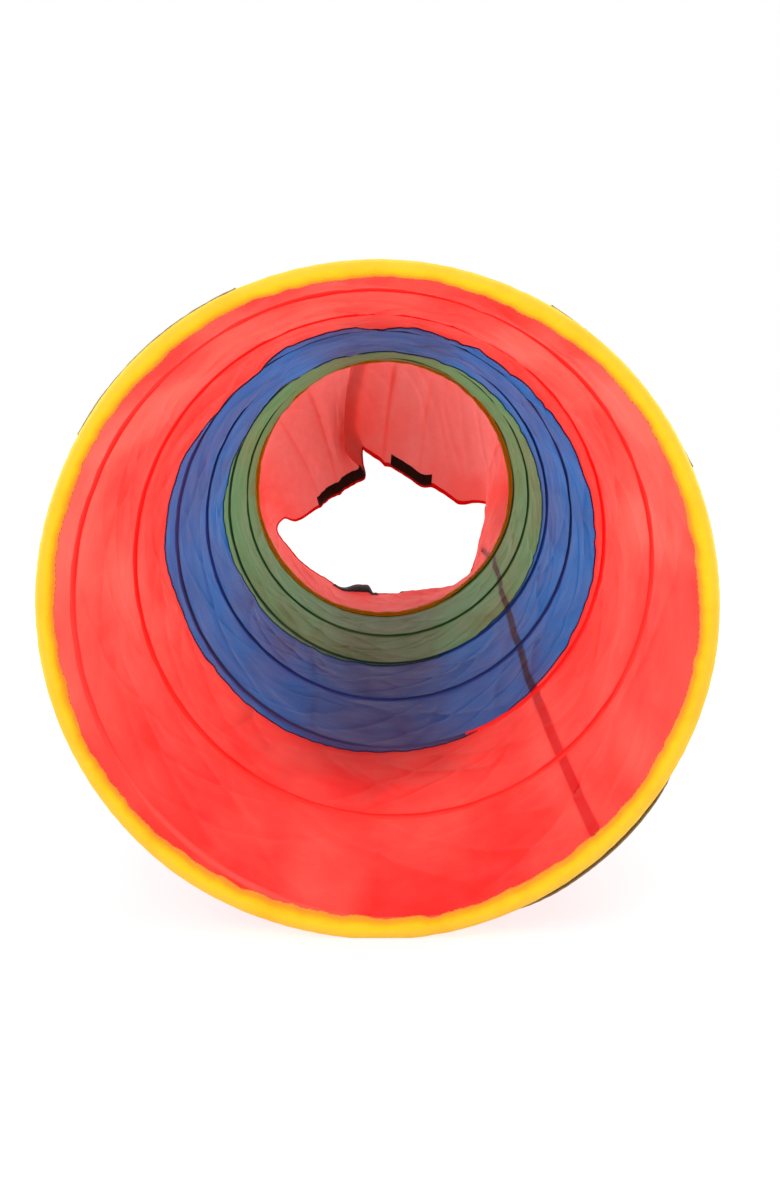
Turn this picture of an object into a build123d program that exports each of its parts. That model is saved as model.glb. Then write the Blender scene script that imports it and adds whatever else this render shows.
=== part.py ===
"""Pop-up agility tunnel for dogs: a fabric tube held open by one long coiled spring wire.

Millimetres. +Y runs along the tunnel from the near mouth to the far end, +Z is up, and the origin is
on the floor below the centre of the near mouth. Soft goods are plain closed solids of the right size.
"""

import os
from math import cos, degrees, radians, sin

from build123d import *

# ---- driving dimensions -------------------------------------------------------------------------
TUNNEL_LENGTH = 1800.0     # first end coil to last end coil
COIL_RADIUS = 230.0        # centre line of the spring wire
WIRE_DIAMETER = 2.5
COIL_TURNS = 6             # open turns between the two closed end coils
END_COIL_TURNS = 1.1       # each closed end coil laps over its own free end
END_COIL_RISE = 3.2        # rise per turn of a closed end coil
LEAVING_ANGLE = 292.0      # where the wire leaves the near end coil, anticlockwise from +X
LEAVING_BLEND = 0.03       # turns over which the wire bends from end coil to open coil, each way

FABRIC = 0.8               # stand-in thickness of one fabric layer
PANEL_LENGTH = TUNNEL_LENGTH / 3
PANEL_INNER_RADIUS = 232.4
PANEL_END_INSET = 7.5      # the outer panels stop inside the rim bindings
SEAM_LAP = 14.0            # each panel overlaps the one before it, on the outside
SEAM_STEP = 1.1            # how far the overlapping edge stands out
SEAM_TAPER = 8.0

CASING_BORE_RADIUS = 1.5   # sewn channel round the wire
CASING_RADIUS = 2.1
CASING_FLANGE = 10.0
CASING_END_GAP = 6.0       # a casing stops this far from a row of stitching
CASING_RIM_GAP = 28.0      # and this far from an end coil

RIM_CENTRE_RADIUS = 232.0  # yellow binding folded round the end coil
RIM_ROUND = 5.5
RIM_CAVITY_ROUND = 3.75
RIM_CAVITY_RADIUS = 231.15
RIM_LEG_END = 22.0         # how far the binding's tails reach along the tunnel
RIM_LEG = 0.8
RIM_ROUND_CENTRE = 0.6     # centre of the rounded edge, measured in from the end coil
RIM_FOOT_DEPTH = 1.2       # the binding is pressed flat this deep where it stands on the floor
AXIS_HEIGHT = RIM_CENTRE_RADIUS + RIM_ROUND - RIM_FOOT_DEPTH

FERRULE_LENGTH = 16.0
FERRULE_WALL = 0.5
FERRULE_GAP = 0.35
FERRULE_TURN = 0.03        # turns from the wire's free end to the middle of its ferrule

THREAD = 0.6
RIM_STITCH_INSET = 17.0
SEAM_STITCH_INSET = 3.0    # from the seam, back towards the near mouth

TAPE_WIDTH = 10.0          # red tape sewn along the outside from rim to rim
TAPE_RADIUS = 235.0
TAPE_START_ANGLE = 312.0
TAPE_END_ANGLE = 329.0
TAPE_END_INSET = 24.0

SKIRT_START = 6.0          # past the far end coil
HEM_ROOF_Y = 1962.0        # the hem leans: its roof hangs back, its floor edge lies further out
HEM_ROOF_Z = 260.0
HEM_LEAN = 0.435           # run per unit of drop
HEM_WIDTH = 12.0
HEM_THICKNESS = 1.6
# the limp mouth of the skirt as (x, z), anticlockwise from the right-hand side
HEM_OUTLINE = [
    (190, 120), (199, 194), (110, 232), (20, 276), (-70, 275), (-140, 206),
    (-208, 150), (-185, 92), (-110, 30), (0, 12), (100, 12), (170, 46),
]

HOOK_LENGTH = 100.0
HOOK_WIDTH = 20.0
HOOK_THICKNESS = 1.4
HOOK_INSET = 2.4                  # from the outside of the hem to the back of a strip
HOOK_OVERLAP = 9.0                # how much of a strip's width lies on the skirt, not on the hem
# where each strip lies on the hem as (x, z), and its slope there in degrees
HOOK_STRIPS = {
    "roof_left_hook_strip": ((-105, 240), 48.0),
    "roof_right_hook_strip": ((62, 256), -26.0),
    "floor_left_hook_strip": ((-60, 20), -10.0),
    "floor_right_hook_strip": ((66, 12), 0.0),
}

LOOP_LENGTH = 150.0               # loop strips round the outside of the near rim
LOOP_WIDTH = 20.0
LOOP_THICKNESS = 1.6
LOOP_RADIUS = 238.0               # inner face
LOOP_START = 1.0
# the direction each strip's middle lies in from the tunnel axis
LOOP_STRIPS = {
    "upper_right_loop_strip": 42.0,
    "upper_left_loop_strip": 132.0,
    "lower_left_loop_strip": 222.0,
    "lower_right_loop_strip": 312.0,
}

STRAP_LENGTH = 150.0              # strap that holds the packed tunnel shut, sewn to the far rim
STRAP_WIDTH = 12.0
STRAP_ANGLE = 327.0
STRAP_START = TUNNEL_LENGTH - 12.0
STRAP_RADIUS = 237.7              # inner face, just clear of the binding
PATCH_LENGTH = 40.0
PATCH_THICKNESS = 0.8
PATCH_GAP = 0.1

# ---- derived values -----------------------------------------------------------------------------
END_COIL_LENGTH = END_COIL_RISE * END_COIL_TURNS
PITCH = (TUNNEL_LENGTH - 2 * END_COIL_LENGTH) / COIL_TURNS
WIRE_TURNS = COIL_TURNS + 2 * END_COIL_TURNS
WIRE_START_ANGLE = LEAVING_ANGLE + 360 * END_COIL_TURNS
SEAMS = [PANEL_LENGTH, 2 * PANEL_LENGTH]

TUNNEL_AXIS = Axis((0, 0, AXIS_HEIGHT), (0, 1, 0))
# sketches of ring sections: local x runs along the tunnel, local y is the radius
SECTION_PLANE = Plane(origin=(0, 0, AXIS_HEIGHT), x_dir=(0, 1, 0), z_dir=(1, 0, 0))
# sketches across the leaning hem: local x is +X, local y runs up the slope
HEM_STRETCH = (1 + HEM_LEAN ** 2) ** 0.5
HEM_SLOPE = Vector(0, -HEM_LEAN, 1).normalized()
HEM_PLANE = Plane(
    origin=(0, HEM_ROOF_Y + HEM_LEAN * HEM_ROOF_Z, 0),
    x_dir=(1, 0, 0),
    z_dir=Vector(1, 0, 0).cross(HEM_SLOPE),
)


def ramp(turn, half_width):
    """Zero below -half_width, turn above half_width, and a smooth bend in between."""
    if turn <= -half_width:
        return 0.0
    if turn >= half_width:
        return turn
    return (turn + half_width) ** 2 / (4 * half_width)


def wire_station(turn):
    """How far along the tunnel the wire is after this many turns from its near free end."""
    open_turns = ramp(turn - END_COIL_TURNS, LEAVING_BLEND)
    open_turns -= ramp(turn - END_COIL_TURNS - COIL_TURNS, LEAVING_BLEND)
    return END_COIL_RISE * turn + (PITCH - END_COIL_RISE) * open_turns


def on_circle(radius, angle, station):
    """Point at this radius and angle round the tunnel axis."""
    x = radius * cos(radians(angle))
    z = AXIS_HEIGHT + radius * sin(radians(angle))
    return Vector(x, station, z)


def radial(angle):
    """Unit direction from the tunnel axis outwards."""
    return Vector(cos(radians(angle)), 0, sin(radians(angle)))


def wire_point(turn):
    return on_circle(COIL_RADIUS, WIRE_START_ANGLE - 360 * turn, wire_station(turn))


def spring_coil():
    """The single wire: closed end coil, open coil, closed end coil."""
    points_per_turn = 20
    steps = round(WIRE_TURNS * points_per_turn)
    points = [wire_point(WIRE_TURNS * i / steps) for i in range(steps + 1)]
    with BuildPart() as wire:
        with BuildLine() as path:
            Spline(*points)
        with BuildSketch(Plane(origin=path.line @ 0, z_dir=path.line % 0)):
            Circle(WIRE_DIAMETER / 2)
        sweep(path=path.wire())
    return wire


def helix_round_tunnel(start, length, radius, angle, pitch, lefthand=False):
    """Helix round the tunnel axis that begins at this station and angle, and its profile plane."""
    out = radial(angle)
    start_plane = Plane(origin=(0, start, AXIS_HEIGHT), x_dir=out, z_dir=(0, 1, 0))
    path = start_plane * Helix(pitch=pitch, height=length, radius=radius, lefthand=lefthand)
    profile_plane = Plane(origin=path @ 0, x_dir=out, z_dir=path % 0)
    return path, profile_plane


def wire_casing(start, end):
    """Sewn channel that holds the open coil between two stations: a sleeve on a flat flange."""
    turns = (start - END_COIL_LENGTH) / PITCH
    angle = LEAVING_ANGLE - 360 * turns
    path, profile_plane = helix_round_tunnel(start, end - start, COIL_RADIUS, angle, PITCH)
    with BuildPart() as casing:
        with BuildSketch(profile_plane):
            Circle(CASING_RADIUS)
            with Locations((CASING_RADIUS - FABRIC / 2, 0)):
                Rectangle(FABRIC, CASING_FLANGE)
            Circle(CASING_BORE_RADIUS, mode=Mode.SUBTRACT)
        sweep(path=path, is_frenet=True)
    return casing


def fabric_panel(start, end, lapped):
    """Tube of fabric; a lapped one starts outside the panel before it and steps in behind it."""
    inner = PANEL_INNER_RADIUS
    if lapped:
        inside = [
            (start - SEAM_LAP / 2, inner + SEAM_STEP),
            (start + SEAM_LAP / 2, inner + SEAM_STEP),
            (start + SEAM_LAP / 2 + SEAM_TAPER, inner),
            (end, inner),
        ]
    else:
        inside = [(start, inner), (end, inner)]
    outside = [(station, radius + FABRIC) for station, radius in reversed(inside)]
    with BuildPart() as panel:
        with BuildSketch(SECTION_PLANE):
            with BuildLine():
                Polyline(*inside, *outside, close=True)
            make_face()
        revolve(axis=TUNNEL_AXIS)
    return panel


def rim_binding(end_station, inward):
    """Binding folded round an end coil, pressed flat where it stands on the floor."""

    def point(depth, radius):
        return (end_station + inward * depth, radius)

    crown = RIM_CENTRE_RADIUS + RIM_ROUND
    throat = RIM_CENTRE_RADIUS - RIM_ROUND
    cavity_top = RIM_CAVITY_RADIUS + RIM_CAVITY_ROUND
    cavity_bottom = RIM_CAVITY_RADIUS - RIM_CAVITY_ROUND
    heel_radius = crown - RIM_FOOT_DEPTH
    tail_radius = PANEL_INNER_RADIUS + FABRIC + 0.8
    bend = RIM_ROUND_CENTRE
    with BuildPart() as binding:
        with BuildSketch(SECTION_PLANE):
            with BuildLine():
                ThreePointArc(
                    point(bend, crown),
                    point(bend - RIM_ROUND, RIM_CENTRE_RADIUS),
                    point(bend, throat),
                )
                Polyline(
                    point(bend, throat),
                    point(RIM_LEG_END, throat),
                    point(RIM_LEG_END, throat + RIM_LEG),
                    point(bend, cavity_bottom),
                )
                ThreePointArc(
                    point(bend, cavity_bottom),
                    point(bend - RIM_CAVITY_ROUND, RIM_CAVITY_RADIUS),
                    point(bend, cavity_top),
                )
                Polyline(
                    point(bend, cavity_top),
                    point(RIM_LEG_END - 2, tail_radius),
                    point(RIM_LEG_END - 2, heel_radius),
                    point(bend, crown),
                )
            make_face()
        revolve(axis=TUNNEL_AXIS)
        split(bisect_by=Plane.XY, keep=Keep.TOP)
    return binding


def thread_rings(rows):
    """Rings of sewing thread at each (station, radius)."""
    with BuildPart() as rings:
        with BuildSketch(SECTION_PLANE):
            with Locations(*rows):
                Circle(THREAD / 2)
        revolve(axis=TUNNEL_AXIS)
    return rings


def wire_ferrule(turn, lap_side):
    """Oval sleeve crimped over the wire's free end and the turn that lies beside it."""
    middle = wire_point(turn)
    angle = WIRE_START_ANGLE - 360 * turn
    along = Vector(sin(radians(angle)), 0, -cos(radians(angle)))
    centre = middle + Vector(0, lap_side * END_COIL_RISE / 2, 0)
    plane = Plane(origin=centre, x_dir=(0, 1, 0), z_dir=along)
    bore = WIRE_DIAMETER + 2 * FERRULE_GAP
    outside = bore + 2 * FERRULE_WALL
    with BuildPart() as ferrule:
        with BuildSketch(plane):
            SlotCenterToCenter(END_COIL_RISE, outside)
            SlotCenterToCenter(END_COIL_RISE, bore, mode=Mode.SUBTRACT)
        extrude(amount=FERRULE_LENGTH / 2, both=True)
    return ferrule


def lengthwise_tape():
    """Tape that runs from rim to rim on the outside, with the tube's slight twist."""
    length = TUNNEL_LENGTH - 2 * TAPE_END_INSET
    pitch = length * 360 / (TAPE_END_ANGLE - TAPE_START_ANGLE)
    path, profile_plane = helix_round_tunnel(
        TAPE_END_INSET, length, TAPE_RADIUS, TAPE_START_ANGLE, pitch, lefthand=True
    )
    with BuildPart() as tape:
        with BuildSketch(profile_plane):
            Rectangle(FABRIC, TAPE_WIDTH)
        sweep(path=path, is_frenet=True)
    return tape


def hem_points(inset):
    """The hem outline in its own plane, moved in from the outside of the cloth."""
    mid_x = sum(x for x, z in HEM_OUTLINE) / len(HEM_OUTLINE)
    mid_z = sum(z for x, z in HEM_OUTLINE) / len(HEM_OUTLINE)
    points = []
    for x, z in HEM_OUTLINE:
        reach = ((x - mid_x) ** 2 + (z - mid_z) ** 2) ** 0.5
        shrink = (reach - inset) / reach
        new_x = mid_x + (x - mid_x) * shrink
        new_z = mid_z + (z - mid_z) * shrink
        points.append((new_x, new_z * HEM_STRETCH))
    return points


def ring_points(radius):
    """Points round the tube that face the points of the hem outline, one for one."""
    step = 360 / len(HEM_OUTLINE)
    angles = [radians(i * step) for i in range(len(HEM_OUTLINE))]
    return [(radius * cos(angle), radius * sin(angle)) for angle in angles]


def skirt_sleeve():
    """Limp sleeve from the far rim to the leaning hem."""
    tube_plane = Plane(
        origin=(0, TUNNEL_LENGTH + SKIRT_START, AXIS_HEIGHT), x_dir=(1, 0, 0), z_dir=(0, -1, 0)
    )
    with BuildPart() as sleeve:
        for inset, mode in ((0.0, Mode.ADD), (FABRIC, Mode.SUBTRACT)):
            with BuildSketch(tube_plane):
                with BuildLine():
                    Spline(*ring_points(PANEL_INNER_RADIUS - inset), periodic=True)
                make_face()
            with BuildSketch(HEM_PLANE):
                with BuildLine():
                    Spline(*hem_points(inset), periodic=True)
                make_face()
            loft(mode=mode)
    return sleeve


def hem_ring(inset, thickness):
    """Closed strip of cloth seen edge on, in the plane of the hem."""
    with BuildSketch(HEM_PLANE) as ring:
        with BuildLine():
            Spline(*hem_points(inset), periodic=True)
        make_face()
        with BuildLine():
            Spline(*hem_points(inset + thickness), periodic=True)
        make_face(mode=Mode.SUBTRACT)
    return ring


def folded_hem():
    """Doubled edge of the skirt."""
    ring = hem_ring(0.0, HEM_THICKNESS)
    with BuildPart() as hem:
        extrude(ring.sketch, amount=HEM_WIDTH, dir=(0, 1, 0))
    return hem


def hook_strip(place, slope):
    """Hook strip that follows the inside of the hem."""
    x, z = place
    ring = hem_ring(HOOK_INSET, HOOK_THICKNESS)
    back_plane = HEM_PLANE.move(Location((0, -HOOK_OVERLAP, 0)))
    with BuildPart() as strip:
        with BuildSketch(back_plane):
            add(ring.sketch_local)
            with Locations((x, z * HEM_STRETCH)):
                Rectangle(HOOK_LENGTH, 3 * HOOK_WIDTH, rotation=slope, mode=Mode.INTERSECT)
        extrude(amount=HOOK_WIDTH, dir=(0, 1, 0))
    return strip


def loop_strip(middle_angle):
    """Loop strip that follows the outside of the near rim."""
    arc = degrees(LOOP_LENGTH / LOOP_RADIUS)
    start_angle = middle_angle + arc / 2
    across = Vector(0, 1, 0).cross(radial(start_angle))
    plane = Plane(origin=(0, 0, AXIS_HEIGHT), x_dir=(0, 1, 0), z_dir=across)
    middle = (LOOP_START + LOOP_WIDTH / 2, LOOP_RADIUS + LOOP_THICKNESS / 2)
    with BuildPart() as strip:
        with BuildSketch(plane):
            with Locations(middle):
                Rectangle(LOOP_WIDTH, LOOP_THICKNESS)
        revolve(axis=TUNNEL_AXIS, revolution_arc=arc)
    return strip


def strap_layer(start, length, radius, thickness):
    """Straight strip on the closing strap's line, with its inner face at this radius."""
    middle = radius + thickness / 2
    plane = Plane(
        origin=on_circle(middle, STRAP_ANGLE, start), x_dir=radial(STRAP_ANGLE), z_dir=(0, 1, 0)
    )
    with BuildPart() as layer:
        with BuildSketch(plane):
            Rectangle(thickness, STRAP_WIDTH)
        extrude(amount=length)
    return layer


# ---- build and write every sub-part -------------------------------------------------------------
stitch_throat = RIM_CENTRE_RADIUS - RIM_ROUND - THREAD
seam_thread_radius = PANEL_INNER_RADIUS - 0.15 - THREAD / 2

pieces = {
    "spring_wire": spring_coil(),
    "near_wire_ferrule": wire_ferrule(FERRULE_TURN, 1),
    "far_wire_ferrule": wire_ferrule(WIRE_TURNS - FERRULE_TURN, -1),
    "red_panel": fabric_panel(PANEL_END_INSET, SEAMS[0], lapped=False),
    "blue_panel": fabric_panel(SEAMS[0], SEAMS[1], lapped=True),
    "green_panel": fabric_panel(SEAMS[1], TUNNEL_LENGTH - PANEL_END_INSET, lapped=True),
    "lengthwise_tape": lengthwise_tape(),
    "connector_skirt": skirt_sleeve(),
    "skirt_hem": folded_hem(),
}

seam_rows = [seam - SEAM_STITCH_INSET for seam in SEAMS]
casing_stops = [CASING_RIM_GAP]
for row in seam_rows:
    casing_stops += [row - CASING_END_GAP, row + CASING_END_GAP]
casing_stops.append(TUNNEL_LENGTH - CASING_RIM_GAP)
for colour, start, end in zip(("red", "blue", "green"), casing_stops[::2], casing_stops[1::2]):
    pieces[colour + "_wire_casing"] = wire_casing(start, end)

for name, row in zip(("red_blue", "blue_green"), seam_rows):
    pieces[name + "_seam_stitching"] = thread_rings([(row, seam_thread_radius)])

for name, station, inward in (("near", 0.0, 1), ("far", TUNNEL_LENGTH, -1)):
    stitch_station = station + inward * RIM_STITCH_INSET
    pieces[name + "_rim_binding"] = rim_binding(station, inward)
    pieces[name + "_rim_stitching"] = thread_rings([(stitch_station, stitch_throat)])

for name, (place, slope) in HOOK_STRIPS.items():
    pieces[name] = hook_strip(place, slope)

for name, angle in LOOP_STRIPS.items():
    pieces[name] = loop_strip(angle)

patch_start = STRAP_START + STRAP_LENGTH - PATCH_LENGTH
patch_radius = STRAP_RADIUS + FABRIC + PATCH_GAP
pieces["closing_strap"] = strap_layer(STRAP_START, STRAP_LENGTH, STRAP_RADIUS, FABRIC)
pieces["closing_strap_patch"] = strap_layer(
    patch_start, PATCH_LENGTH, patch_radius, PATCH_THICKNESS
)

os.makedirs("parts", exist_ok=True)
for name, piece in pieces.items():
    piece.part.label = name
    export_step(piece.part, f"parts/{name}.step")
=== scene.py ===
"""The agility tunnel as it looks: fabric, bindings, stitching and drape, built round the CAD frame.

Row frame, metres: +Y runs along the tunnel from the near mouth, +Z is up, the floor is z = 0.
"""

from math import atan2, cos, degrees, exp, pi, radians, sin, sqrt

import bpy
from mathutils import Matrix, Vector, noise


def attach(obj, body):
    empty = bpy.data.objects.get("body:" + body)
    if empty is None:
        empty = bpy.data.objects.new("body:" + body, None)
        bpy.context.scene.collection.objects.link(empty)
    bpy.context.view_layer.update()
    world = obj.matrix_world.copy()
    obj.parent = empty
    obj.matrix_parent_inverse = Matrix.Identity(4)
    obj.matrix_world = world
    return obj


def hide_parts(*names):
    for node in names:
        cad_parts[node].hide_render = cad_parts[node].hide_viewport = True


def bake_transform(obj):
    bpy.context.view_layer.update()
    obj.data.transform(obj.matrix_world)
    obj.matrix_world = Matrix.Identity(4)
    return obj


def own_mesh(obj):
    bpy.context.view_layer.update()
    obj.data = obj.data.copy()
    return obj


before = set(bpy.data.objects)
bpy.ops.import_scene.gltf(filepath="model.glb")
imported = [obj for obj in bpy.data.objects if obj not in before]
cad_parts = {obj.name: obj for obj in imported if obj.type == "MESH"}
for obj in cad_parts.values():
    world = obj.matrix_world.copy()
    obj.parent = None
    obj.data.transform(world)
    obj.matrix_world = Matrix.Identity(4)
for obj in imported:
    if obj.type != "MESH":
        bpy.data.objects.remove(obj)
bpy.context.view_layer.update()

# ---- sizes shared with the CAD ------------------------------------------------------------------
LENGTH = 1.8
COIL_RADIUS = 0.230
CLOTH_RADIUS = 0.2321       # middle of the panels' cloth where the wire holds it
AXIS_HEIGHT = 0.2363
COIL_TURNS = 6
END_COIL_TURNS = 1.1
END_COIL_RISE = 0.0032
END_COIL_LENGTH = END_COIL_RISE * END_COIL_TURNS
PITCH = (LENGTH - 2 * END_COIL_LENGTH) / COIL_TURNS
LEAVING_ANGLE = 292.0
WIRE_TURNS = COIL_TURNS + 2 * END_COIL_TURNS
WIRE_RADIUS = 0.00125
SEAMS = (0.6, 1.2)
SEAM_STITCH_INSET = 0.003
RIM_RADIUS = 0.2375         # outside of the bindings

COLUMNS = 480               # cloth columns round the tube
ROW = 0.004                 # cloth row along the tube


# ---- small helpers ------------------------------------------------------------------------------
def smooth(value, low, high):
    """0 below low, 1 above high, and a smooth step in between."""
    t = min(max((value - low) / (high - low), 0.0), 1.0)
    return t * t * (3 - 2 * t)


def bell(value, width):
    return exp(-((value / width) ** 2))


def on_circle(radius, angle, station):
    """Point round the tunnel axis; the angle is in degrees, anticlockwise from +X."""
    a = radians(angle)
    return Vector((radius * cos(a), station, AXIS_HEIGHT + radius * sin(a)))


def wrapped_noise(angle, station, round_scale, along_scale, seed):
    """Smooth noise on the tube, with no join: the scales are its wavelengths in metres."""
    a = radians(angle)
    r = CLOTH_RADIUS / round_scale
    spot = Vector((r * cos(a) + seed, r * sin(a) - seed, station / along_scale + 2 * seed))
    return noise.noise(spot)


def ridge(value):
    """Turns smooth noise into a sharp crease line, highest where the noise crosses zero."""
    return 1 - min(abs(value) * 2.6, 1.0)


def coil_phase(angle, station):
    """0 on the spring wire, rising to 1 at the next turn along."""
    turns = (station - END_COIL_LENGTH) / PITCH - (LEAVING_ANGLE - angle) / 360
    return turns % 1.0


def coil_wander(angle, station):
    """The sewn wire is never quite a true helix: how far it wanders along the tunnel."""
    slow = wrapped_noise(angle, station, 0.03, 0.1, 60.0)
    quick = wrapped_noise(angle, station, 0.011, 0.1, 63.0)
    return 0.0009 * slow + 0.0009 * quick


def mesh_object(name, vertices, faces, uvs=None, shade=None):
    """New smooth mesh object; uvs, in metres of cloth, and shade hold one value per vertex."""
    mesh = bpy.data.meshes.new(name)
    mesh.from_pydata([tuple(v) for v in vertices], [], faces)
    if uvs is not None:
        layer = mesh.uv_layers.new(name="cloth")
        for loop in mesh.loops:
            layer.data[loop.index].uv = uvs[loop.vertex_index]
    if shade is not None:
        mesh.attributes.new("shade", "FLOAT", "POINT").data.foreach_set("value", shade)
    mesh.polygons.foreach_set("use_smooth", [True] * len(mesh.polygons))
    mesh.validate()
    mesh.update()
    obj = bpy.data.objects.new(name, mesh)
    bpy.context.scene.collection.objects.link(obj)
    return obj


def grid(rows, columns, wrap_rows=False, wrap_columns=False, start=0):
    """Quads over a grid of vertices stored row by row."""
    faces = []
    for i in range(rows if wrap_rows else rows - 1):
        for j in range(columns if wrap_columns else columns - 1):
            a = i * columns + j
            b = i * columns + (j + 1) % columns
            c = ((i + 1) % rows) * columns + (j + 1) % columns
            d = ((i + 1) % rows) * columns + j
            faces.append((start + a, start + b, start + c, start + d))
    return faces


def capped(rows, columns):
    """Quads round a closed section that runs along a path, with a flat face at both ends."""
    faces = grid(rows, columns, wrap_columns=True)
    faces.append(tuple(reversed(range(columns))))
    faces.append(tuple(range((rows - 1) * columns, rows * columns)))
    return faces


def swept(name, frames, profile):
    """Closed profile of (across, up) points swept along frames of (origin, across, up)."""
    vertices = []
    uvs = []
    travelled = 0.0
    last = None
    for origin, across, up in frames:
        if last is not None:
            travelled += (origin - last).length
        last = origin
        for a, u in profile:
            vertices.append(origin + across * a + up * u)
            uvs.append((travelled, a + u))
    return mesh_object(name, vertices, capped(len(frames), len(profile)), uvs)


def joined(name, parts):
    """One mesh object from a list of (vertices, faces)."""
    vertices = []
    faces = []
    for part_vertices, part_faces in parts:
        base = len(vertices)
        vertices += part_vertices
        faces += [tuple(base + i for i in face) for face in part_faces]
    return mesh_object(name, vertices, faces)


# ---- materials ----------------------------------------------------------------------------------
class Shader:
    """Small helper that adds nodes to a material and wires them in one line each."""

    def __init__(self, name):
        self.material = bpy.data.materials.new(name)
        self.material.use_nodes = True
        self.tree = self.material.node_tree
        self.tree.nodes.clear()

    def node(self, kind, values=None, **inputs):
        """Adds a node; values are its settings, and inputs go by name or, like in0, by number."""
        node = self.tree.nodes.new(kind)
        for key, value in (values or {}).items():
            setattr(node, key, value)
        for key, value in inputs.items():
            index = int(key[2:]) if key.startswith("in") else key.replace("_", " ")
            self.feed(node.inputs[index], value)
        return node

    def feed(self, socket, value):
        if isinstance(value, bpy.types.NodeSocket):
            self.tree.links.new(value, socket)
        else:
            socket.default_value = value

    def maths(self, operation, a, b=0.0):
        return self.node("ShaderNodeMath", {"operation": operation}, in0=a, in1=b).outputs[0]

    def mix_colour(self, factor, a, b, blend="MIX"):
        node = self.node("ShaderNodeMix", {"data_type": "RGBA", "blend_type": blend}, in0=factor)
        self.feed(node.inputs[6], a)
        self.feed(node.inputs[7], b)
        return node.outputs[2]

    def noise(self, vector, scale, detail=3.0, rough=0.55):
        settings = {"Vector": vector, "Scale": scale, "Detail": detail, "Roughness": rough}
        return self.node("ShaderNodeTexNoise", **settings).outputs["Fac"]

    def limited(self, value, low, high, to_low=0.0, to_high=1.0):
        """Maps low..high onto to_low..to_high and holds it there outside."""
        ends = {"in1": low, "in2": high, "in3": to_low, "in4": to_high}
        return self.node("ShaderNodeMapRange", {"clamp": True}, in0=value, **ends).outputs[0]

    def place(self):
        """Coordinates in the object's own space, in metres."""
        return self.node("ShaderNodeTexCoord").outputs["Object"]

    def weave(self, pitch):
        """Plain weave: warp and weft threads that cross over and under each other."""
        uv = self.node("ShaderNodeUVMap", {"uv_map": "cloth"}).outputs[0]
        parts = self.node("ShaderNodeSeparateXYZ", Vector=uv)
        turns = 2 * pi / pitch
        warp = self.maths("SINE", self.maths("MULTIPLY", parts.outputs[0], turns))
        weft = self.maths("SINE", self.maths("MULTIPLY", parts.outputs[1], turns))
        return self.maths("MULTIPLY", warp, weft)

    def bump(self, height, strength, distance=1.0):
        settings = {"Strength": strength, "Distance": distance, "Height": height}
        return self.node("ShaderNodeBump", **settings).outputs[0]

    def woven_bump(self, weave, depth, lumps, rise, strength):
        """Bump of threads this deep, over lumps that rise this high, in metres."""
        threads = self.maths("MULTIPLY", weave, depth)
        return self.bump(self.maths("ADD", threads, self.maths("MULTIPLY", lumps, rise)), strength)

    def solid(self, **inputs):
        return self.node("ShaderNodeBsdfPrincipled", **inputs).outputs[0]

    def lit_through(self, solid, glow, bump, light):
        """Finished cloth that lets this share of the light through, in the colour of glow."""
        passing = self.node("ShaderNodeBsdfTranslucent", Color=glow, Normal=bump).outputs[0]
        mix = self.node("ShaderNodeMixShader", in0=light, in1=solid, in2=passing)
        return self.finish(mix.outputs[0])

    def finish(self, shader):
        output = self.node("ShaderNodeOutputMaterial")
        self.tree.links.new(shader, output.inputs["Surface"])
        return self.material


def rgb(red, green, blue):
    """Colour from 0 to 255 display values, as linear light."""
    def linear(v):
        v /= 255
        return v / 12.92 if v <= 0.04045 else ((v + 0.055) / 1.055) ** 2.4
    return (linear(red), linear(green), linear(blue), 1.0)


BLACK = rgb(0, 0, 0)


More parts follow.
